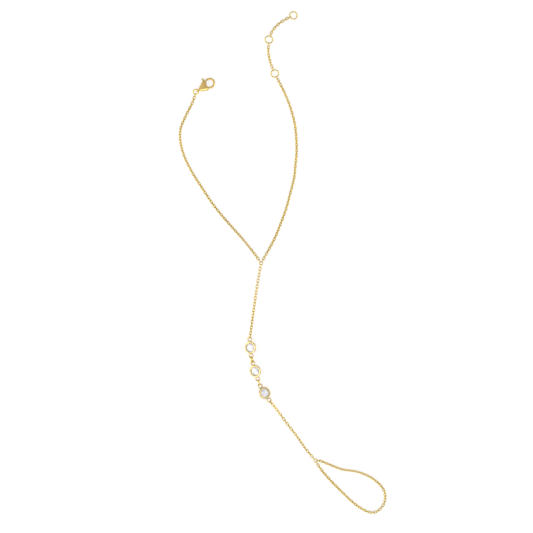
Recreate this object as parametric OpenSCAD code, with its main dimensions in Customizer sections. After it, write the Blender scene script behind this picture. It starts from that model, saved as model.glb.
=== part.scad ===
/* [Chain links] */
// Thickness of the wire that the links are bent from
link_wire = 0.26; // [0.22:0.01:0.3]
// Length of the hole in a link
link_hole = 1.28; // [1.1:0.02:1.6]
// Play between two links
link_play = 0.12; // [0.12:0.005:0.16]
// Play between a link and the ring that it hangs on
ring_play = 0.05; // [0.04:0.01:0.1]
// How far the two wrist chains are drawn out, from pushed together at 0 to taut at 1
wrist_draw = 0.3; // [0:0.05:1]
// How far the two extender chains are drawn out
extender_draw = 0.1; // [0:0.05:1]
// How far the chain from the wrist to the stones is drawn out
upper_draw = 0.85; // [0:0.05:1]
// How far the chain from the stones to the finger loop is drawn out
lower_draw = 1; // [0:0.05:1]

/* [Rings] */
// Thickness of the wire of the extender rings and of the clasp's ring
ring_wire = 0.4; // [0.34:0.01:0.5]
// Outer diameter of the three extender rings
extender_ring_d = 3.2; // [2.6:0.1:4.2]
// Outer diameter of the ring that joins the clasp to its chain
clasp_ring_d = 2.35; // [2.2:0.05:3.2]
// Thickness of the wire of the two small rings where three chains meet
join_wire = 0.3; // [0.26:0.01:0.36]
// Outer diameter of the two small rings where three chains meet
join_ring_d = 1.6; // [1.55:0.05:2.2]

/* [Settings] */
// Outer diameter of a stone's setting
setting_d = 4.6; // [4.4:0.1:5.2]
// Height of a setting
setting_h = 1.7; // [1.6:0.05:2]
// Diameter of the narrow foot of a setting
foot_d = 2.9; // [2.7:0.1:3.3]
// Width of the lip that holds the stone, seen from above
lip_w = 0.66; // [0.6:0.01:0.7]
// Roll of each setting about the line of the chain
setting_roll = 26; // [10:1:30]
// Outer diameter of the two loops that are soldered to a setting
loop_d = 2; // [1.9:0.05:2.4]
// Thickness of the wire of those loops
loop_wire = 0.44; // [0.36:0.01:0.48]
// Thickness of the wire of the links between two settings
between_wire = 0.4; // [0.34:0.01:0.44]
// Length of the hole in the links between two settings
between_hole = 1.75; // [1.6:0.05:2]
// Width of that hole, which lets two settings lean to opposite sides
between_hole_w = 0.82; // [0.78:0.02:0.92]

/* [Stones] */
// Diameter of a stone at its girdle
stone_d = 3.5; // [3.3:0.05:3.6]
// Width of a stone's flat table
table_w = 2; // [1.7:0.05:2.3]
// Height of a stone above its girdle
crown_h = 0.5; // [0.4:0.05:0.6]
// Depth of a stone below its girdle
pavilion_h = 1.12; // [0.9:0.02:1.2]
// Thickness of the girdle
girdle_h = 0.1; // [0.06:0.02:0.16]

/* [Clasp] */
// Outer diameter of the clasp's hook
hook_d = 4.3; // [4:0.1:5]
// Thickness of the hook
hook_wire = 0.8; // [0.75:0.05:1]
// Length of the clasp's body from its narrow end to the middle of the hook
clasp_l = 4.53; // [4.3:0.05:5]
// Width of the clasp's body across its two shoulders
clasp_w = 3.75; // [3.5:0.05:4.2]
// Thickness of the clasp's body at its shoulders
clasp_t = 1.7; // [1.6:0.05:2]
// Thickness of the clasp's lever
lever_t = 0.7; // [0.6:0.05:0.75]
// Diameter of the pin that the lever turns on
pin_d = 0.5; // [0.4:0.02:0.6]
// Diameter of the thumb ball on the lever
thumb_d = 0.85; // [0.7:0.05:1]
// Angle that the lever opens by
lever_open = 20; // [15:1:24]
// Roll of the clasp about its own length, where it lies
clasp_roll = 14; // [5:1:20]

/* [Hidden] */
$fn = 32;

// Places of the rings, seen from above, with the middle of the whole piece at 0, 0
wrist_join_at = [-7.8, -0.3];
finger_join_at = [12.6, -74.2];
ring_first_at = [-2.7, 70.8];
ring_middle_at = [-4.9, 83.5];
ring_end_at = [4.3, 92.6];
// Place of the first setting, and the heading of each piece down the row of stones
setting_1_at = [-11.8, -31.8];
setting_turn = [-85, -73, -58];
between_turn = [-77, -70];
// Narrow end of the clasp, its heading, and the side of its eye that its ring hangs to
clasp_at = [-31, 64.7];
clasp_turn = 31.5;
clasp_ring_side = 213;

// Routes of the chains between their end rings, in chosen points
clasp_side_route = [[-33.5, 60], [-36, 55], [-38, 50], [-38, 45], [-36.5, 39.5], [-33.5, 33.5],
    [-30, 28], [-26, 22], [-22, 17], [-18.5, 13], [-14.5, 8.5], [-10.5, 3.5]];
ring_side_route = [[-6, 3], [-3, 8.5], [-0.5, 14.5], [1.5, 20], [3, 25.5], [4.5, 31.5],
    [5, 36], [5.5, 42.5], [5, 50.5], [3.5, 57], [1, 63.5]];
extender_near_route = [[-4.3, 74.8], [-5.1, 78.8]];
extender_far_route = [[-3.6, 86.7], [-1.3, 89.3], [1.4, 91.1]];
hand_upper_route = [[-8.5, -4], [-9.5, -10], [-10.5, -17], [-11.5, -24.5]];
hand_lower_route = [[-2, -55], [2, -60.5], [5.5, -65], [9, -70]];
finger_route = [[14.5, -74.4], [17.5, -75.6], [22.5, -77.5], [28.5, -78.5], [34, -81],
    [38, -85], [38.5, -89.5], [36, -93], [32.5, -93.5], [28, -91], [23.5, -87], [19, -82.5],
    [15.8, -79], [13.5, -75.9]];

// How each chain is twisted along its way: share of the way, twist in degrees.
// At 0 every other link lies flat, and at 45 all the links lean alike
wrist_twist = [[0.07, 18], [0.35, 28], [0.6, 16], [0.85, 26]];
extender_twist = [[0.5, 20]];
hand_upper_twist = [[0.3, 0], [0.6, 15]];
hand_lower_twist = [[0.2, -20], [0.5, -20]];

// Sizes of a link
link_hole_w = max(ring_wire + 2 * ring_play, loop_wire + 2 * ring_play, link_wire + 2 * link_play);
link_w = link_hole_w + 2 * link_wire;
link_l = link_hole + 2 * link_wire;
// Shortest and longest step from one link to the next
step_min = (link_l + link_play) / 2;
step_max = link_hole - link_play;
// Length over which a chain comes up from the surface to what it hangs on
climb = 7;
// Gap under a lying chain, so that no leaning link dips into the surface
under_gap = 0.02;
// Half of the stretch over which a chain's direction is taken
look = 0.3;

// Radii of the wire's middle line in each ring
extender_ring_r = (extender_ring_d - ring_wire) / 2;
clasp_ring_r = (clasp_ring_d - ring_wire) / 2;
join_ring_r = (join_ring_d - join_wire) / 2;
loop_r = (loop_d - loop_wire) / 2;
// Height of a flat ring, which lies on the lower sides of the upright links that hold it
flat_z = link_w / 2 + under_gap;
// Dip of the last extender ring, whose free side lies on the surface
end_ring_dip = asin((flat_z - ring_wire / 2) / (2 * extender_ring_r));

// Stone: radii of its girdle and table, and of the kite facets' middle corners, and their height
stone_r = stone_d / 2;
table_r = table_w / 2 / cos(22.5);
kite_r = (stone_r + table_r) / 2;
kite_h = crown_h * 0.52;

// Setting
setting_r = setting_d / 2;
foot_r = foot_d / 2;
stone_gap = 0.03;
// Height of the lip above the soldered loops, and of the foot below them
lip_h = 0.4;
lip_round = 0.24;
cup_wall = 0.35;
foot_h = setting_h - lip_h;
setting_z = foot_h * cos(setting_roll) + foot_r * sin(setting_roll);
solder_bite = 0.18;
loop_reach = setting_r + loop_d / 2 - solder_bite;
lip_r = setting_r - lip_w;
lip_edge = 0.06;
// Upper edge of the stone's girdle, level with the loops
girdle_z = 0;
// Underside of the lip's thin edge, close over the stone's crown
lip_under_z = girdle_z + kite_h * (stone_r - lip_r) / (stone_r - kite_r) + 2 * stone_gap;
between_play = 0.05;
between_reach = 2 * loop_r + between_hole - loop_wire - 2 * between_play;
roll_of = [setting_roll, setting_roll, -setting_roll];

// Clasp
hook_r = (hook_d - hook_wire) / 2;
shoulder_r = 0.5;
neck_r = 0.65;
neck = [0.5, -0.15];
neck_t = clasp_t * 0.7;
bevel = 0.3;
fit_gap = 0.05;
pin_gap = 0.01;
eye_wire = 0.42;
eye_hole = ring_wire + 2 * link_play;
eye_r = (eye_hole + eye_wire) / 2;
eye_clear = 0.03;
eye_x = neck.x - neck_r - eye_hole / 2 - eye_clear;
left_shoulder = [2.55, clasp_w / 2 - shoulder_r];
front_shoulder = [2.8, 0.4];
right_shoulder = [2.65, shoulder_r - clasp_w / 2];
pivot = [2.3, -0.7];
hub_wall = 0.35;
hub_r = pin_d / 2 + hub_wall;
hook_tip_angle = 112;
hook_root_angle = -160;
finger_start = hook_tip_angle + 3;
finger_end = 142;
arm_end = [clasp_l, 0] + hook_r * heading(finger_end - 4);
arm_turn = turn_of(arm_end - pivot);
arm_r = 0.5;
arm_l = norm(arm_end - pivot);
thumb_at = [3.1, clasp_w / 2 + thumb_d];
// Room for the lever: its length, and how far it is wider than the sweep behind
room_l = arm_l + 2.6 * arm_r;
room_aft = 24;
clasp_z = clasp_t / 2 * cos(clasp_roll) + (clasp_w / 2 - bevel) * sin(clasp_roll);
clasp_ring_tilt = 15;
clasp_eye_at = clasp_at + eye_x * heading(clasp_turn);
clasp_ring_at = clasp_eye_at + clasp_ring_r * heading(clasp_ring_side);
clasp_ring_z = clasp_z - clasp_ring_r * sin(clasp_ring_tilt);
chain_from_clasp_z = clasp_ring_z - clasp_ring_r * sin(clasp_ring_tilt)
    * cos(turn_of(clasp_side_route[0] - clasp_ring_at) - clasp_ring_side);

// Thickness of the plain tube that stands for the finger loop's chain, and of its ends
loop_tube_inset = 0.15;
loop_tube_d = link_w - loop_tube_inset;
loop_tube_end_d = 0.7;
loop_tube_sides = 8;
loop_tube_rings = 34;
// Where the tube starts, from the middle of the small ring
loop_tube_gap = 0.35;
loop_tube_start = join_ring_d / 2 + loop_tube_gap;

function heading(a) = [cos(a), sin(a)];
function turn_of(p) = atan2(p.y, p.x);
function ease(t) = t <= 0 ? 0 : t >= 1 ? 1 : t * t * (3 - 2 * t);

// Place of setting i and of its two loops, worked out down the row from the first setting
function setting_at(i) = i == 0 ? setting_1_at
    : setting_at(i - 1) + loop_reach * (heading(setting_turn[i - 1]) + heading(setting_turn[i]))
        + between_reach * heading(between_turn[i - 1]);
function loop_at(i, side) = setting_at(i) + side * loop_reach * heading(setting_turn[i]);
// Height of that loop's wire on the side towards a point: the loop leans with its setting
function loop_z(i, side, to) = setting_z
    + loop_r * sin(turn_of(to - loop_at(i, side)) - setting_turn[i]) * sin(roll_of[i]);

// Smooth curve through chosen points, as fine points and their distance along the way
function curve(a, b, c, d, t) = (2 * b + (c - a) * t + (2 * a - 5 * b + 4 * c - d) * t * t
    + (3 * b - a - 3 * c + d) * t * t * t) / 2;
function fine(p, steps = 12) = let (last = len(p) - 1)
    [for (i = [0:last - 1]) for (k = [0:steps - 1])
        curve(i == 0 ? 2 * p[0] - p[1] : p[i - 1], p[i], p[i + 1],
            i == last - 1 ? 2 * p[last] - p[last - 1] : p[i + 2], k / steps),
    p[last]];
function distances(q) = [for (i = 0, s = 0; i < len(q);
    s = s + (i + 1 < len(q) ? norm(q[i + 1] - q[i]) : 0), i = i + 1) s];
function table(q, s, axis) = [for (i = [0:len(q) - 1]) [s[i], q[i][axis]]];

// Distance from the middle of a ring to the middle of the link that hangs on it
function hang(ring_r, wire) = ring_r + link_hole / 2 - wire / 2 - ring_play;

// Height of a lying chain's middle line where it is twisted by spin
function lie(spin) = under_gap + link_wire / 2
    + (link_w - link_wire) / 2 * max(abs(sin(spin)), abs(cos(spin)));
// Height at f along the way, from z0 at near, down to low, and up again to z1 at far
function height(f, near, far, z0, z1, low) =
    low + (z0 - low) * ease(1 - (f - near) / climb) + (z1 - low) * ease(1 - (far - f) / climb);

// Chain along a route, from height z0 and lean lean0 at its start to z1 and lean1 at its end
module chain(route, near, reach1, z0, z1, draw, twist, lean0 = 0, lean1 = 0) {
    q = fine(route);
    s = distances(q);
    xs = table(q, s, 0);
    ys = table(q, s, 1);
    far = s[len(s) - 1] - reach1;
    risen = [for (i = [0:len(q) - 1]) [q[i].x, q[i].y, height(s[i], near, far, z0, z1, lie(45))]];
    s3 = distances(risen);
    flat_of = [for (i = [0:len(s) - 1]) [s3[i], s[i]]];
    way = s3[len(s) - 1] - near - reach1;
    wanted = round(way / (step_min + draw * (step_max - step_min)));
    steps = max(ceil(way / step_max), min(floor(way / step_min), wanted));
    upright = (steps % 2 == 0 ? 0 : 90) + lean1;
    last_twist = twist[len(twist) - 1][1];
    twists = concat([[0, lean0]], twist, [[1, upright + 180 * round((last_twist - upright) / 180)]]);
    for (i = [0:steps]) {
        f = lookup(near + way * i / steps, flat_of);
        spin = lookup(i / steps, twists);
        ahead = [lookup(f + look, xs) - lookup(f - look, xs), lookup(f + look, ys) - lookup(f - look, ys)];
        rise = height(f + look, near, far, z0, z1, lie(spin))
            - height(f - look, near, far, z0, z1, lie(spin));
        translate([lookup(f, xs), lookup(f, ys), height(f, near, far, z0, z1, lie(spin))])
            rotate([90 * (i + 1) + spin, -atan2(rise, norm(ahead)), turn_of(ahead)])
                link(link_hole, link_hole_w, link_wire);
    }
}

// One oval link, lying flat along X
module link(hole, hole_w, wire) {
    bend_r = (hole_w + wire) / 2;
    half = (hole - hole_w) / 2;
    for (side = [-1, 1]) {
        translate([side * half, 0, 0])
            rotate([0, 0, -90 * side])
                rotate_extrude(angle = 180)
                    translate([bend_r, 0])
                        circle(d = wire);
        translate([-half, side * bend_r, 0])
            rotate([0, 90, 0])
                cylinder(h = 2 * half, d = wire);
    }
}

// Closed ring of round wire, lying flat
module ring(r, wire) {
    rotate_extrude()
        translate([r, 0])
            circle(d = wire);
}

module place(at, z, turn = 0, roll = 0) {
    translate([at.x, at.y, z])
        rotate([0, 0, turn])
            rotate([roll, 0, 0])
                children();
}

module wrist_chain_clasp_side() {
    color("gold")
        chain(concat([clasp_ring_at], clasp_side_route, [wrist_join_at]),
            hang(clasp_ring_r, ring_wire), hang(join_ring_r, join_wire),
            chain_from_clasp_z, flat_z, wrist_draw, wrist_twist);
}

module wrist_chain_ring_side() {
    color("gold")
        chain(concat([wrist_join_at], ring_side_route, [ring_first_at]),
            hang(join_ring_r, join_wire), hang(extender_ring_r, ring_wire),
            flat_z, flat_z, wrist_draw, wrist_twist);
}

module extender_chain_near() {
    color("gold")
        chain(concat([ring_first_at], extender_near_route, [ring_middle_at]),
            hang(extender_ring_r, ring_wire), hang(extender_ring_r, ring_wire),
            flat_z, flat_z, extender_draw, extender_twist);
}

module extender_chain_far() {
    color("gold")
        chain(concat([ring_middle_at], extender_far_route, [ring_end_at]),
            hang(extender_ring_r, ring_wire), hang(extender_ring_r, ring_wire),
            flat_z, flat_z, extender_draw, extender_twist);
}

module hand_chain_upper() {
    color("gold")
        chain(concat([wrist_join_at], hand_upper_route, [loop_at(0, -1)]),
            hang(join_ring_r, join_wire), hang(loop_r, loop_wire),
            flat_z, loop_z(0, -1, hand_upper_route[len(hand_upper_route) - 1]),
            upper_draw, hand_upper_twist, 0, roll_of[0]);
}

module hand_chain_lower() {
    color("gold")
        chain(concat([loop_at(2, 1)], hand_lower_route, [finger_join_at]),
            hang(loop_r, loop_wire), hang(join_ring_r, join_wire),
            loop_z(2, 1, hand_lower_route[0]), flat_z,
            lower_draw, hand_lower_twist, roll_of[2], 0);
}

// Plain tube along the finger loop, from one side of the small ring round to the other
module finger_loop_chain() {
    q = fine(concat([finger_join_at], finger_route, [finger_join_at]));
    s = distances(q);
    xs = table(q, s, 0);
    ys = table(q, s, 1);
    way = s[len(s) - 1] - 2 * loop_tube_start;
    sides = loop_tube_sides;
    last = loop_tube_rings - 1;
    points = [for (i = [0:last])
        let (d = loop_tube_start + way * i / last,
            across = turn_of([lookup(d + look, xs) - lookup(d - look, xs),
                lookup(d + look, ys) - lookup(d - look, ys)]) - 90,
            r = (i == 0 || i == last ? loop_tube_end_d : loop_tube_d) / 2)
        for (k = [0:sides - 1])
            let (a = 360 * (k + 0.5) / sides)
            [lookup(d, xs) + r * cos(a) * cos(across), lookup(d, ys) + r * cos(a) * sin(across),
                flat_z + r * sin(a)]];
    faces = concat(
        [[for (k = [sides - 1:-1:0]) k]],
        [for (i = [0:last - 1]) for (k = [0:sides - 1])
            [i * sides + k, i * sides + (k + 1) % sides,
                (i + 1) * sides + (k + 1) % sides, (i + 1) * sides + k]],
        [[for (k = [0:sides - 1]) last * sides + k]]);
    color("gold")
        polyhedron(points, faces);
}

module wrist_join_ring() {
    color("gold")
        place(wrist_join_at, flat_z)
            ring(join_ring_r, join_wire);
}

module finger_join_ring() {
    color("gold")
        place(finger_join_at, flat_z)
            ring(join_ring_r, join_wire);
}

// The ring leans on its axis, high where the clasp's eye holds it
module clasp_ring() {
    color("gold")
        place(clasp_ring_at, clasp_ring_z, clasp_ring_side)
            rotate([0, clasp_ring_tilt, 0])
                ring(clasp_ring_r, ring_wire);
}

module extender_ring_first() {
    color("gold")
        place(ring_first_at, flat_z)
            ring(extender_ring_r, ring_wire);
}

module extender_ring_middle() {
    color("gold")
        place(ring_middle_at, flat_z)
            ring(extender_ring_r, ring_wire);
}

// The last ring dips away from the chain, down to the surface
module extender_ring_end() {
    away = turn_of(ring_end_at - extender_far_route[2]);
    color("gold")
        place(ring_end_at, flat_z - extender_ring_r * sin(end_ring_dip), away)
            rotate([0, end_ring_dip, 0])
                ring(extender_ring_r, ring_wire);
}

module in_clasp() {
    place(clasp_at, clasp_z, clasp_turn, -clasp_roll)
        children();
}

// Slab with rounded corners and bevelled edges: full outline, then narrower and thicker
module shoulder_slab() {
    hull() {
        for (edge = [0, bevel]) {
            for (at = [left_shoulder, front_shoulder, right_shoulder])
                translate([at.x, at.y, edge - clasp_t / 2])
                    cylinder(h = clasp_t - 2 * edge, r = shoulder_r + edge - bevel);
            translate([neck.x, neck.y, (edge - neck_t) / 2])
                cylinder(h = neck_t - edge, r = neck_r + (edge - bevel) / 2);
        }
    }
}

// Room for the lever in the body, over all of its travel
module lever_room() {
    room_r = hub_r + fit_gap;
    translate([pivot.x, pivot.y, -lever_t / 2 - fit_gap])
        linear_extrude(lever_t + 2 * fit_gap) {
            circle(r = room_r);
            polygon([room_r * heading(arm_turn - 90),
                room_r * heading(arm_turn - 90) + arm_l * heading(arm_turn - 1),
                room_l * heading(arm_turn),
                room_l * heading(arm_turn + lever_open + room_aft),
                (arm_l + fit_gap) * heading(arm_turn + lever_open + room_aft * 2 / 3),
                room_r * heading(arm_turn + lever_open + 90)]);
        }
}

module clasp_body() {
    color("goldenrod")
        in_clasp()
            difference() {
                union() {
                    shoulder_slab();
                    translate([clasp_l, 0, 0])
                        rotate([0, 0, hook_root_angle])
                            rotate_extrude(angle = hook_tip_angle - hook_root_angle)
                                translate([hook_r, 0])
                                    circle(d = hook_wire);
                    translate([eye_x, 0, 0])
                        rotate([90, 0, 0])
                            ring(eye_r, eye_wire);
                }
                lever_room();
                translate([pivot.x, pivot.y, -clasp_t])
                    cylinder(h = 2 * clasp_t, d = pin_d + 2 * pin_gap);
            }
}

module clasp_lever() {
    color("goldenrod")
        in_clasp()
            difference() {
                union() {
                    translate([0, 0, -lever_t / 2])
                        linear_extrude(lever_t) {
                            hull() {
                                translate(pivot)
                                    circle(r = hub_r);
                                translate(arm_end)
                                    circle(r = arm_r);
                            }
                            hull() {
                                translate(arm_end)
                                    circle(r = arm_r);
                                translate(thumb_at)
                                    circle(d = thumb_d * 0.7);
                            }
                        }
                    translate([clasp_l, 0, 0])
                        rotate([0, 0, finger_start])
                            rotate_extrude(angle = finger_end - finger_start)
                                translate([hook_r, 0])
                                    circle(d = lever_t);
                    translate([thumb_at.x, thumb_at.y, 0])
                        sphere(d = thumb_d);
                }
                translate([pivot.x, pivot.y, -lever_t])
                    cylinder(h = 2 * lever_t, d = pin_d + 2 * fit_gap);
            }
}

module clasp_pin() {
    color("gold")
        in_clasp()
            translate([pivot.x, pivot.y, -clasp_t / 2])
                cylinder(h = clasp_t, d = pin_d);
}

// Round cup on a narrow foot, open below, its lip turned in over the stone
module setting(i) {
    seat_r = stone_r + stone_gap;
    back_r = foot_r - cup_wall;
    seat_z = girdle_z - girdle_h - stone_gap;
    color("gold")
        place(setting_at(i), setting_z, setting_turn[i], roll_of[i]) {
            rotate_extrude()
                polygon([[back_r, -foot_h], [foot_r, -foot_h], [setting_r - lip_round / 2, -foot_h / 4],
                    [setting_r, -foot_h / 12], [setting_r, lip_h - lip_round],
                    [setting_r - lip_round * 0.4, lip_h - lip_round / 4], [setting_r - lip_round, lip_h],
                    [lip_r + lip_round, lip_h], [lip_r + lip_round / 3, lip_h - lip_round / 3],
                    [lip_r, lip_under_z + lip_edge], [lip_r, lip_under_z],
                    [seat_r, girdle_z + stone_gap], [seat_r, seat_z],
                    [seat_r - lip_round, seat_z - lip_round]]);
            for (side = [-1, 1])
                translate([side * loop_reach, 0, 0])
                    ring(loop_r, loop_wire);
        }
}

// Brilliant cut: flat table, 8 star, 8 kite and 16 upper facets, and the same below
module stone(i) {
    low_r = stone_r * 0.3;
    low_h = pavilion_h * 0.74;
    points = concat(
        [for (k = [0:7]) let (a = 45 * k) [table_r * cos(a), table_r * sin(a), crown_h]],
        [for (k = [0:7]) let (a = 45 * k + 22.5) [kite_r * cos(a), kite_r * sin(a), kite_h]],
        [for (k = [0:15]) let (a = 22.5 * k) [stone_r * cos(a), stone_r * sin(a), 0]],
        [for (k = [0:15]) let (a = 22.5 * k) [stone_r * cos(a), stone_r * sin(a), -girdle_h]],
        [for (k = [0:7]) let (a = 45 * k + 22.5) [low_r * cos(a), low_r * sin(a), -girdle_h - low_h]],
        [[0, 0, -girdle_h - pavilion_h]]);
    color("aliceblue")
        place(setting_at(i), setting_z, setting_turn[i], roll_of[i])
            translate([0, 0, girdle_z])
                hull()
                    polyhedron(points, [[for (k = [0:7]) k], [for (k = [15:-1:0]) 16 + k], [48, 40, 32]]);
}

module between_link(i) {
    middle = loop_at(i, 1) + between_reach / 2 * heading(between_turn[i]);
    z0 = loop_z(i, 1, middle);
    z1 = loop_z(i + 1, -1, middle);
    lean = (roll_of[i] + roll_of[i + 1]) / 2;
    color("gold")
        translate([middle.x, middle.y, (z0 + z1) / 2])
            rotate([90 + lean, -atan2(z1 - z0, between_reach), between_turn[i]])
                link(between_hole, between_hole_w, between_wire);
}

wrist_chain_clasp_side();
wrist_chain_ring_side();
extender_chain_near();
extender_chain_far();
hand_chain_upper();
hand_chain_lower();
finger_loop_chain();
wrist_join_ring();
finger_join_ring();
clasp_ring();
extender_ring_first();
extender_ring_middle();
extender_ring_end();
clasp_body();
clasp_lever();
clasp_pin();
setting(0);  // setting_1
setting(1);  // setting_2
setting(2);  // setting_3
stone(0);  // stone_1
stone(1);  // stone_2
stone(2);  // stone_3
between_link(0);  // between_link_1
between_link(1);  // between_link_2
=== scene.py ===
import math

import bmesh
import bpy
from mathutils import Matrix, Vector


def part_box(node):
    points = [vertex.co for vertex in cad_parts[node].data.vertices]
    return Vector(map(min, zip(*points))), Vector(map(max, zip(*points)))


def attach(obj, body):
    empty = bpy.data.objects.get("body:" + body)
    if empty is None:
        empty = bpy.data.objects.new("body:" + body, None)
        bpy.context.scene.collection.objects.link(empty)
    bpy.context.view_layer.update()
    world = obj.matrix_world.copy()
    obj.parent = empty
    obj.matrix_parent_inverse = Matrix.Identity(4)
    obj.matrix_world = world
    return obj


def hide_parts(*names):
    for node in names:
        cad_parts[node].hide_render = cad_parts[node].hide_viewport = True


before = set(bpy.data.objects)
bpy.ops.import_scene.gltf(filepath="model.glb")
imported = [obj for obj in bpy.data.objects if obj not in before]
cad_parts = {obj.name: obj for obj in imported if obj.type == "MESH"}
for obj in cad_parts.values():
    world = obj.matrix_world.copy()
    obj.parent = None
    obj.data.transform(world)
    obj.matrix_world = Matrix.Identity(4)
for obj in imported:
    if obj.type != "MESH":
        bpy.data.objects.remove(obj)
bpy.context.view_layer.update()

bl_info = {
    "name": "Hand chain bracelet",
    "version": (1, 0, 0),
    "blender": (4, 5, 0),
    "location": "3D View > Sidebar > Hand chain",
    "description": "Finishes a fine gold hand chain with clear stones, and makes its finger loop's links",
    "category": "Object",
}

MM = 0.001
MAIN_BODY = "bracelet"

WIRE_NODES = [
    "wrist_chain_clasp_side", "wrist_chain_ring_side", "extender_chain_near", "extender_chain_far",
    "hand_chain_upper", "hand_chain_lower", "wrist_join_ring", "finger_join_ring", "clasp_ring",
    "extender_ring_first", "extender_ring_middle", "extender_ring_end", "between_link_1", "between_link_2",
]
CUP_NODES = ["setting_1", "setting_2", "setting_3"]
STONE_NODES = ["stone_1", "stone_2", "stone_3"]
CLASP_NODES = ["clasp_body", "clasp_lever", "clasp_pin"]

# Twist of the finger loop's links along its way: share of the way, degrees. At 45 all the links lean alike
FINGER_TWIST = [(0.05, 26), (0.25, 34), (0.4, 14), (0.55, 18), (0.75, 34), (0.95, 24)]
# Route of the finger loop in millimetres, seen from above, from the small ring round and back to it
FINGER_ROUTE = [
    (14.5, -74.4), (17.5, -75.6), (22.5, -77.5), (28.5, -78.5), (34, -81), (38, -85), (38.5, -89.5),
    (36, -93), (32.5, -93.5), (28, -91), (23.5, -87), (19, -82.5), (15.8, -79), (13.5, -75.9),
]
# Width of the painted patches of light in a stone, standing for light sent back by the facets below
PATCH = 0.5 * MM
# Share of a stone's painted light that each facet has of its own, the rest being its patches
FACET_SHARE = 0.4
# Share of its surroundings that a place of the gold still sees where the painted shade starts to darken its
# colour
SHADE_OPEN = 0.94
# That share where the painted shade is darkest, the strength of its polishing waves, and the fineness of its
# wear
CHAIN_PLATE = (0.5, 0.25, 2600)
CUP_PLATE = (0.74, 0.3, 1800)
CLASP_PLATE = (0.48, 0.5, 1500)
# Heights of the gold's polishing waves and of its fine wear
WAVE_HEIGHT = 0.04 * MM
WEAR_HEIGHT = 0.006 * MM
# Tone of the gold's reflections at a glancing angle
GLANCING_TINT = (1.0, 0.9, 0.6, 1.0)
# Tone of a stone's brightest facets: a painted highlight, also given off as a glow
STONE_PAINTED_GLINT = (0.45, 0.45, 0.45, 1.0)
# Half of the stretch over which the finger loop's heading is taken
LOOK = 0.3 * MM
# Half of the floor's side
FLOOR_HALF = 1.5
# Heights between which the surround's strength changes, and how far back it fades, in parts of a unit vector
SKY_RISE = (0.1, 0.95)
SKY_BACK = (0.4, 0.85)
# Lamps: the side that each stands on, in degrees from +X, and its share of the power
LAMPS = [(190, 1.0), (5, 0.6), (265, 1.0)]
# Sockets of a Mix node that mixes colours
MIX_FIRST, MIX_SECOND, MIX_RESULT = 6, 7, 2


def lookup(x, pairs):
    """Value at x in a rising table of pairs, in straight stretches between them."""
    if x <= pairs[0][0]:
        return pairs[0][1]
    for (x0, y0), (x1, y1) in zip(pairs, pairs[1:]):
        if x <= x1:
            return y0 + (y1 - y0) * (x - x0) / (x1 - x0)
    return pairs[-1][1]


def smooth_route(points, steps=12):
    """Fine points of a smooth curve through chosen points."""
    ends = [2 * points[0] - points[1], *points, 2 * points[-1] - points[-2]]
    fine = []
    for a, b, c, d in zip(ends, ends[1:], ends[2:], ends[3:]):
        for k in range(steps):
            t = k / steps
            fine.append((2 * b + (c - a) * t + (2 * a - 5 * b + 4 * c - d) * t * t
                         + (3 * b - a - 3 * c + d) * t * t * t) / 2)
    return fine + [points[-1]]


def way_tables(fine):
    """Tables of x and of y against the distance along the way, and its whole length."""
    s, xs, ys = 0.0, [], []
    for i, p in enumerate(fine):
        s += (p - fine[i - 1]).length if i else 0.0
        xs.append((s, p.x))
        ys.append((s, p.y))
    return xs, ys, s


def link_line(hole, hole_w, wire, bend_steps):
    """Middle line of a link's wire: two half turns joined by two straight sides."""
    r = (hole_w + wire) / 2
    half = (hole - hole_w) / 2
    line = []
    for side, start in ((1, -90), (-1, 90)):
        for k in range(bend_steps + 1):
            a = math.radians(start + 180 * k / bend_steps)
            outward = Vector((math.cos(a), math.sin(a), 0))
            line.append((Vector((side * half, 0, 0)) + outward * r, outward))
    return line


def add_link(bm, place, sizes):
    """One link of round wire, added to a mesh."""
    line = link_line(sizes.hole, sizes.hole_w, sizes.wire, sizes.bend_steps)
    rings = []
    for centre, outward in line:
        ring = []
        for k in range(sizes.sides):
            a = math.tau * k / sizes.sides
            spot = centre + (outward * math.cos(a) + Vector((0, 0, math.sin(a)))) * (sizes.wire / 2)
            ring.append(bm.verts.new(place @ spot))
        rings.append(ring)
    for ring, following in zip(rings, rings[1:] + rings[:1]):
        for k in range(sizes.sides):
            j = (k + 1) % sizes.sides
            bm.faces.new((ring[k], following[k], following[j], ring[j])).smooth = True


def finger_links(sizes):
    """Places of the finger loop's links: both end links hang on the small ring."""
    low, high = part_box("finger_join_ring")
    ring_at = (low + high) / 2
    ring_wire = high.z - low.z
    ring_r = (high.x - low.x - ring_wire) / 2
    reach = ring_r + sizes.hole / 2 - ring_wire / 2 - sizes.ring_play
    middle = Vector((ring_at.x, ring_at.y))
    route = [middle] + [Vector(p) * MM for p in FINGER_ROUTE] + [middle]
    xs, ys, length = way_tables(smooth_route(route))
    way = length - 2 * reach
    count = round(way / sizes.pitch)
    upright = 0 if count % 2 == 0 else 90
    twist = [(0, 0)] + FINGER_TWIST + [(1, upright)]
    places = []
    for i in range(count + 1):
        s = reach + way * i / count
        spin = math.radians(lookup(i / count, twist))
        ahead = Vector((lookup(s + LOOK, xs) - lookup(s - LOOK, xs),
                        lookup(s + LOOK, ys) - lookup(s - LOOK, ys)))
        tall = max(abs(math.sin(spin)), abs(math.cos(spin)))
        lying = sizes.under_gap + sizes.wire / 2 + (sizes.hole_w + sizes.wire) / 2 * tall
        roll = math.radians(90 * (i + 1)) + spin
        places.append(
            Matrix.Translation((lookup(s, xs), lookup(s, ys), lying))
            @ Matrix.Rotation(math.atan2(ahead.y, ahead.x), 4, "Z")
            @ Matrix.Rotation(roll, 4, "X"))
    return places


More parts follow.
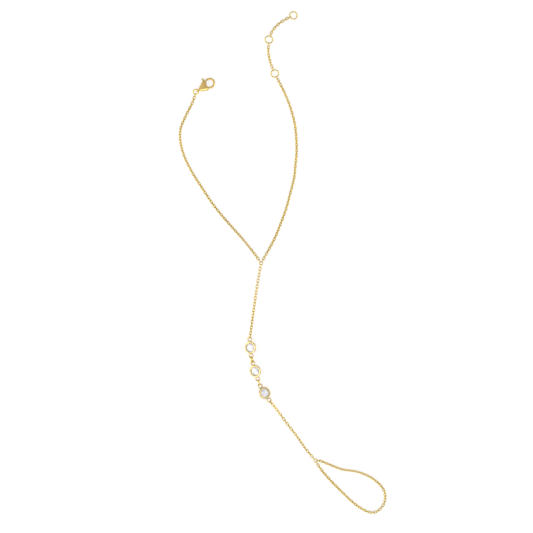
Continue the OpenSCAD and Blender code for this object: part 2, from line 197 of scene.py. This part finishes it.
def noise(tree, scale, detail, roughness=0.5):
    """Noise in the object's own metres, a node's place being in its mesh."""
    spot = tree.nodes.new("ShaderNodeTexCoord")
    grain = tree.nodes.new("ShaderNodeTexNoise")
    grain.inputs["Scale"].default_value = scale
    grain.inputs["Detail"].default_value = detail
    grain.inputs["Roughness"].default_value = roughness
    tree.links.new(spot.outputs["Object"], grain.inputs["Vector"])
    return grain.outputs["Fac"]


def colour_ramp(tree, source, stops):
    ramp = tree.nodes.new("ShaderNodeValToRGB")
    ramp.color_ramp.elements[0].position, ramp.color_ramp.elements[0].color = stops[0]
    ramp.color_ramp.elements[1].position, ramp.color_ramp.elements[1].color = stops[-1]
    for position, colour in stops[1:-1]:
        ramp.color_ramp.elements.new(position).color = colour
    tree.links.new(source, ramp.inputs["Fac"])
    return ramp.outputs["Color"]


def map_range(tree, source, low, high, to_low, to_high):
    node = tree.nodes.new("ShaderNodeMapRange")
    for name, value in (("From Min", low), ("From Max", high), ("To Min", to_low), ("To Max", to_high)):
        node.inputs[name].default_value = value
    tree.links.new(source, node.inputs["Value"])
    return node.outputs["Result"]


def bump(tree, source, strength, distance, onto=None):
    node = tree.nodes.new("ShaderNodeBump")
    node.inputs["Strength"].default_value = strength
    node.inputs["Distance"].default_value = distance
    tree.links.new(source, node.inputs["Height"])
    if onto is not None:
        tree.links.new(onto, node.inputs["Normal"])
    return node.outputs["Normal"]


def new_material(name):
    material = bpy.data.materials.new(name)
    material.use_nodes = True
    tree = material.node_tree
    return material, tree, tree.nodes["Principled BSDF"]


def tinted(colour, share):
    return (colour[0] * share, colour[1] * share, colour[2] * share, 1.0)


def with_painted_shade(tree, colour, painted_shade_colour, reach, shut):
    """Painted shade: colour that is darkest where no more than a share of the surroundings within reach is
    open.
    """
    sight = tree.nodes.new("ShaderNodeAmbientOcclusion")
    sight.samples = 8
    sight.inputs["Distance"].default_value = reach
    node = tree.nodes.new("ShaderNodeMix")
    node.data_type = "RGBA"
    shade = map_range(tree, sight.outputs["AO"], shut, SHADE_OPEN, 1.0, 0.0)
    tree.links.new(shade, node.inputs["Factor"])
    tree.links.new(colour, node.inputs[MIX_FIRST])
    node.inputs[MIX_SECOND].default_value = tinted(painted_shade_colour, 1.0)
    return node.outputs[MIX_RESULT]


def plated_gold(name, colour, painted_shade_colour, reach, roughness, plate):
    """Gold plate: polishing waves, fine wear, a tone that varies a little, and painted shade that makes it
    browner in recesses and near the floor.
    """
    shut, wave, wear_scale = plate
    material, tree, shader = new_material(name)
    shader.inputs["Metallic"].default_value = 1.0
    shader.inputs["Specular Tint"].default_value = GLANCING_TINT
    tone = noise(tree, wear_scale * 0.2, 3)
    paler = (min(1, colour[0] * 1.05), min(1, colour[1] * 1.06), min(1, colour[2] * 1.16), 1.0)
    stops = [(0.3, tinted(colour, 0.93)), (0.52, tinted(colour, 1.0)), (0.72, paler)]
    gold = colour_ramp(tree, tone, stops)
    # Painted shade: the gold's colour turns browner where other parts or the floor shut it in
    tree.links.new(with_painted_shade(tree, gold, painted_shade_colour, reach, shut), shader.inputs["Base Color"])
    wear = noise(tree, wear_scale, 6, 0.65)
    tree.links.new(map_range(tree, wear, 0.35, 0.7, roughness * 0.7, roughness * 1.6),
                   shader.inputs["Roughness"])
    soft = bump(tree, noise(tree, wear_scale * 0.35, 2), wave, WAVE_HEIGHT)
    tree.links.new(bump(tree, wear, wave * 0.5, WEAR_HEIGHT, soft), shader.inputs["Normal"])
    return material


def sparkle(tree, size):
    """Random numbers: one for each straight-edged patch under the table, mixed with one for each facet."""
    spot = tree.nodes.new("ShaderNodeTexCoord")
    patches = tree.nodes.new("ShaderNodeTexVoronoi")
    patches.inputs["Scale"].default_value = 1 / size
    tree.links.new(spot.outputs["Object"], patches.inputs["Vector"])
    facing = tree.nodes.new("ShaderNodeNewGeometry")
    facet = tree.nodes.new("ShaderNodeTexWhiteNoise")
    tree.links.new(facing.outputs["True Normal"], facet.inputs["Vector"])
    both = tree.nodes.new("ShaderNodeMix")
    both.data_type = "RGBA"
    both.inputs["Factor"].default_value = FACET_SHARE
    tree.links.new(patches.outputs["Color"], both.inputs[MIX_FIRST])
    tree.links.new(facet.outputs["Color"], both.inputs[MIX_SECOND])
    return both.outputs[MIX_RESULT]


def clear_stone(name, colour, shade, index, clearness, glow):
    """Cut clear stone: painted patches of pale cold light standing for light from the facets below, put into
    its colour and given off as a glow, and a hard polish.
    """
    material, tree, shader = new_material(name)
    shader.inputs["IOR"].default_value = index
    shader.inputs["Transmission Weight"].default_value = clearness
    patches = sparkle(tree, PATCH)
    stops = [(0.1, tinted(shade, 1.0)), (0.45, tinted(colour, 1.0)), (0.7, STONE_PAINTED_GLINT)]
    light = colour_ramp(tree, patches, stops)
    # Painted light: patches of lit and shaded facets are painted into the stone's colour
    tree.links.new(light, shader.inputs["Base Color"])
    # Painted light: the same patches make the stone glow though it is no lamp
    tree.links.new(light, shader.inputs["Emission Color"])
    shader.inputs["Emission Strength"].default_value = glow
    tree.links.new(bump(tree, patches, 0.6, PATCH * 0.3), shader.inputs["Normal"])
    polish = noise(tree, 6000, 4)
    tree.links.new(map_range(tree, polish, 0.3, 0.7, 0.02, 0.07), shader.inputs["Roughness"])
    return material


def lit_floor(name, colour, glow):
    """Pale matt sheet, lit a little from below, with a barely visible tooth."""
    material, tree, shader = new_material(name)
    shader.inputs["Emission Color"].default_value = (1, 1, 1, 1)
    shader.inputs["Emission Strength"].default_value = glow
    shader.inputs["Roughness"].default_value = 0.9
    shader.inputs["Specular IOR Level"].default_value = 0.1
    fibre = noise(tree, 1200, 5)
    stops = [(0.3, tinted(colour, 0.985)), (0.7, tinted(colour, 1.0))]
    tree.links.new(colour_ramp(tree, fibre, stops), shader.inputs["Base Color"])
    return material


def dress(nodes, material):
    """Gives CAD nodes a material."""
    for name in nodes:
        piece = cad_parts[name]
        if not piece.material_slots:
            piece.data.materials.append(material)
        for place in piece.material_slots:
            place.material = material


class LinkSizes(bpy.types.PropertyGroup):
    wire: bpy.props.FloatProperty(
        name="Wire", description="Thickness of the wire", default=0.26 * MM, unit="LENGTH")
    hole: bpy.props.FloatProperty(
        name="Hole length", description="Length of the hole in a link", default=1.28 * MM, unit="LENGTH")
    hole_w: bpy.props.FloatProperty(
        name="Hole width", description="Width of the hole in a link", default=0.54 * MM, unit="LENGTH")
    pitch: bpy.props.FloatProperty(
        name="Pitch", description="Way from one link to the next", default=1.02 * MM, unit="LENGTH")
    ring_play: bpy.props.FloatProperty(
        name="Ring play", description="Play between an end link and its ring", default=0.05 * MM,
        unit="LENGTH")
    under_gap: bpy.props.FloatProperty(
        name="Gap below", description="Gap under the lying chain", default=0.02 * MM, unit="LENGTH")
    sides: bpy.props.IntProperty(
        name="Sides", description="Sides of the round wire", default=12, min=6, max=24)
    bend_steps: bpy.props.IntProperty(
        name="Bend steps", description="Steps round each end of a link", default=10, min=4, max=24)


class Finishes(bpy.types.PropertyGroup):
    chain_colour: bpy.props.FloatVectorProperty(
        name="Chain gold", description="Colour of the chains and rings", default=(0.80, 0.575, 0.06),
        subtype="COLOR", size=3, min=0, max=1)
    cup_colour: bpy.props.FloatVectorProperty(
        name="Cup gold", description="Colour of the settings", default=(0.84, 0.69, 0.33),
        subtype="COLOR", size=3, min=0, max=1)
    clasp_colour: bpy.props.FloatVectorProperty(
        name="Clasp gold", description="Colour of the clasp", default=(1.0, 0.71, 0.25),
        subtype="COLOR", size=3, min=0, max=1)
    # Painted shade: the colour the gold is painted where its surroundings are shut in, and how far that
    # painted shade reaches
    painted_shade_colour: bpy.props.FloatVectorProperty(
        name="Painted shade gold", description="Colour of the painted shade on the gold in its recesses", default=(0.44, 0.24, 0.02),
        subtype="COLOR", size=3, min=0, max=1)
    chain_shade_reach: bpy.props.FloatProperty(
        name="Chain painted shade", description="Reach within which nearby metal shades a chain",
        default=0.45 * MM, unit="LENGTH")
    cup_shade_reach: bpy.props.FloatProperty(
        name="Cup painted shade", description="Reach within which things shade a setting", default=20 * MM,
        unit="LENGTH")
    clasp_shade_reach: bpy.props.FloatProperty(
        name="Clasp painted shade", description="Reach within which things shade the clasp", default=20 * MM,
        unit="LENGTH")
    chain_roughness: bpy.props.FloatProperty(
        name="Chain roughness", description="Roughness of the chains", default=0.16, subtype="FACTOR")
    cup_roughness: bpy.props.FloatProperty(
        name="Cup roughness", description="Roughness of the settings", default=0.12, subtype="FACTOR")
    clasp_roughness: bpy.props.FloatProperty(
        name="Clasp roughness", description="Roughness of the clasp", default=0.3, subtype="FACTOR")
    # The stones' tones are painted light: patches of lit and shaded facets, also given off as a glow
    stone_colour: bpy.props.FloatVectorProperty(
        name="Stone tone", description="Faint tone of the clear stones", default=(0.34, 0.34, 0.355),
        subtype="COLOR", size=3, min=0, max=1)
    stone_shade: bpy.props.FloatVectorProperty(
        name="Stone shade", description="Tone of the darkest facets", default=(0.21, 0.21, 0.245),
        subtype="COLOR", size=3, min=0, max=1)
    stone_index: bpy.props.FloatProperty(
        name="Stone index", description="Refractive index of the stones", default=2.15, min=1.4, max=2.6)
    stone_clearness: bpy.props.FloatProperty(
        name="Stone clearness", description="Share of light that passes the facets", default=0.12,
        subtype="FACTOR", min=0, max=1)
    # Painted light: strength of the stones' own glow
    stone_painted_glow: bpy.props.FloatProperty(
        name="Stone painted glow", description="Painted glow that stands for light the lower facets send back up", default=1.0, min=0)


class StageSizes(bpy.types.PropertyGroup):
    floor_colour: bpy.props.FloatVectorProperty(
        name="Floor", description="Colour of the floor", default=(0.2, 0.2, 0.2),
        subtype="COLOR", size=3, min=0, max=1)
    floor_glow: bpy.props.FloatProperty(
        name="Floor glow", description="Light that comes up through the floor", default=0.85, min=0)
    view_w: bpy.props.FloatProperty(
        name="View width", description="Width that the picture shows", default=199.9 * MM, unit="LENGTH")
    view_x: bpy.props.FloatProperty(
        name="View X", description="Middle of the picture, across", default=-5.8 * MM, unit="LENGTH")
    view_y: bpy.props.FloatProperty(
        name="View Y", description="Middle of the picture, along", default=-1.5 * MM, unit="LENGTH")
    lens: bpy.props.FloatProperty(
        name="Lens", description="Focal length of the camera in millimetres", default=100, min=20)
    sky_above: bpy.props.FloatProperty(
        name="Light above", description="Strength of the soft light from straight above", default=0.6, min=0)
    sky_round: bpy.props.FloatProperty(
        name="Light around", description="Strength of the soft light from the sides", default=0.9, min=0)
    sky_far: bpy.props.FloatProperty(
        name="Far side", description="Share of that light which comes from the far side", default=0.15, min=0)
    lamp_power: bpy.props.FloatProperty(
        name="Lamps", description="Power of each soft lamp", default=3.0, min=0, unit="POWER")
    lamp_width: bpy.props.FloatProperty(
        name="Lamp width", description="Width of each square lamp", default=0.85, unit="LENGTH")
    lamp_lean: bpy.props.FloatProperty(
        name="Lamp lean", description="Angle of each lamp from straight above", default=math.radians(60),
        subtype="ANGLE")
    lamp_distance: bpy.props.FloatProperty(
        name="Lamp distance", description="Distance of each lamp", default=1.0, unit="LENGTH")


class FingerLoopOperator(bpy.types.Operator):
    """Makes the finger loop out of links, in place of the plain tube"""
    bl_idname = "handchain.finger_loop"
    bl_label = "Finger loop"

    def execute(self, context):
        sizes = context.scene.handchain_links
        bm = bmesh.new()
        for place in finger_links(sizes):
            add_link(bm, place, sizes)
        bmesh.ops.recalc_face_normals(bm, faces=bm.faces)
        mesh = bpy.data.meshes.new("finger_loop_links")
        bm.to_mesh(mesh)
        bm.free()
        loop = bpy.data.objects.new("finger_loop_links", mesh)
        context.scene.collection.objects.link(loop)
        mesh.materials.append(bpy.data.materials["Chain gold"])
        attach(loop, MAIN_BODY)
        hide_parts("finger_loop_chain")
        return {"FINISHED"}


class ChainOperator(bpy.types.Operator):
    """Finishes the chains and rings in polished gold plate"""
    bl_idname = "handchain.chains"
    bl_label = "Chains and rings"

    def execute(self, context):
        finish = context.scene.handchain_finishes
        material = plated_gold("Chain gold", finish.chain_colour, finish.painted_shade_colour,
                               finish.chain_shade_reach, finish.chain_roughness, CHAIN_PLATE)
        dress(WIRE_NODES, material)
        return {"FINISHED"}


class CupOperator(bpy.types.Operator):
    """Finishes the settings in brightly polished gold plate"""
    bl_idname = "handchain.cups"
    bl_label = "Settings"

    def execute(self, context):
        finish = context.scene.handchain_finishes
        material = plated_gold("Cup gold", finish.cup_colour, finish.painted_shade_colour,
                               finish.cup_shade_reach, finish.cup_roughness, CUP_PLATE)
        dress(CUP_NODES, material)
        return {"FINISHED"}


class StoneOperator(bpy.types.Operator):
    """Finishes the cut stones"""
    bl_idname = "handchain.stones"
    bl_label = "Stones"

    def execute(self, context):
        finish = context.scene.handchain_finishes
        material = clear_stone("Clear stone", finish.stone_colour, finish.stone_shade, finish.stone_index,
                               finish.stone_clearness, finish.stone_painted_glow)
        dress(STONE_NODES, material)
        return {"FINISHED"}


class ClaspOperator(bpy.types.Operator):
    """Finishes the clasp, cast and tumbled and softer than the chain"""
    bl_idname = "handchain.clasp"
    bl_label = "Clasp"

    def execute(self, context):
        finish = context.scene.handchain_finishes
        material = plated_gold("Clasp gold", finish.clasp_colour, finish.painted_shade_colour,
                               finish.clasp_shade_reach, finish.clasp_roughness, CLASP_PLATE)
        dress(CLASP_NODES, material)
        return {"FINISHED"}


class StageOperator(bpy.types.Operator):
    """Sets up the pale floor, the soft lamps and the camera"""
    bl_idname = "handchain.stage"
    bl_label = "Stage"

    def execute(self, context):
        stage = context.scene.handchain_stage
        self.floor(context, stage)
        self.surround(context, stage)
        self.lamps(context, stage)
        self.camera(context, stage)
        return {"FINISHED"}

    def floor(self, context, stage):
        mesh = bpy.data.meshes.new("floor")
        corners = [(-FLOOR_HALF, -FLOOR_HALF, 0), (FLOOR_HALF, -FLOOR_HALF, 0),
                   (FLOOR_HALF, FLOOR_HALF, 0), (-FLOOR_HALF, FLOOR_HALF, 0)]
        mesh.from_pydata(corners, [], [(0, 1, 2, 3)])
        floor = bpy.data.objects.new("floor", mesh)
        context.scene.collection.objects.link(floor)
        mesh.materials.append(lit_floor("Pale sheet", stage.floor_colour, stage.floor_glow))

    def surround(self, context, stage):
        world = bpy.data.worlds.new("Studio")
        world.use_nodes = True
        tree = world.node_tree
        place = tree.nodes.new("ShaderNodeTexCoord")
        parts = tree.nodes.new("ShaderNodeSeparateXYZ")
        tree.links.new(place.outputs["Generated"], parts.inputs["Vector"])
        strength = map_range(tree, parts.outputs["Z"], *SKY_RISE, stage.sky_round, stage.sky_above)
        shade = map_range(tree, parts.outputs["Y"], *SKY_BACK, 1.0, stage.sky_far)
        both = tree.nodes.new("ShaderNodeMath")
        both.operation = "MULTIPLY"
        tree.links.new(strength, both.inputs[0])
        tree.links.new(shade, both.inputs[1])
        tree.links.new(both.outputs[0], tree.nodes["Background"].inputs["Strength"])
        tree.nodes["Background"].inputs["Color"].default_value = (1, 1, 1, 1)
        context.scene.world = world
        context.scene.view_settings.view_transform = "Standard"

    def lamps(self, context, stage):
        for number, (turn, share) in enumerate(LAMPS):
            light = bpy.data.lights.new(f"lamp_{number}", "AREA")
            light.size = stage.lamp_width
            light.energy = stage.lamp_power * share
            lamp = bpy.data.objects.new(light.name, light)
            flat = stage.lamp_distance * math.sin(stage.lamp_lean)
            lamp.location = (flat * math.cos(math.radians(turn)), flat * math.sin(math.radians(turn)),
                             stage.lamp_distance * math.cos(stage.lamp_lean))
            lamp.rotation_euler = (-lamp.location).to_track_quat("-Z", "Y").to_euler()
            context.scene.collection.objects.link(lamp)

    def camera(self, context, stage):
        camera = bpy.data.cameras.new("camera")
        camera.lens = stage.lens
        eye = bpy.data.objects.new("camera", camera)
        eye.location = (stage.view_x, stage.view_y, stage.view_w * stage.lens / camera.sensor_width)
        camera.clip_start = 0.01
        context.scene.collection.objects.link(eye)
        context.scene.camera = eye


class HandChainPanel(bpy.types.Panel):
    bl_idname = "HANDCHAIN_PT_panel"
    bl_label = "Hand chain"
    bl_space_type = "VIEW_3D"
    bl_region_type = "UI"
    bl_category = "Hand chain"

    def draw(self, context):
        for operator in OPERATORS:
            self.layout.operator(operator.bl_idname)
        for group in (context.scene.handchain_links, context.scene.handchain_finishes,
                      context.scene.handchain_stage):
            box = self.layout.box()
            for name in group.__annotations__:
                box.prop(group, name)


GROUPS = {"handchain_links": LinkSizes, "handchain_finishes": Finishes, "handchain_stage": StageSizes}
OPERATORS = [ChainOperator, FingerLoopOperator, CupOperator, StoneOperator, ClaspOperator, StageOperator]


def register():
    for kind in [*GROUPS.values(), *OPERATORS, HandChainPanel]:
        bpy.utils.register_class(kind)
    for name, group in GROUPS.items():
        setattr(bpy.types.Scene, name, bpy.props.PointerProperty(type=group))


def unregister():
    for name in GROUPS:
        delattr(bpy.types.Scene, name)
    for kind in reversed([*GROUPS.values(), *OPERATORS, HandChainPanel]):
        bpy.utils.unregister_class(kind)


def main():
    register()
    bpy.ops.handchain.chains()
    bpy.ops.handchain.finger_loop()
    bpy.ops.handchain.cups()
    bpy.ops.handchain.stones()
    bpy.ops.handchain.clasp()
    bpy.ops.handchain.stage()


if __name__ == "__main__":
    main()
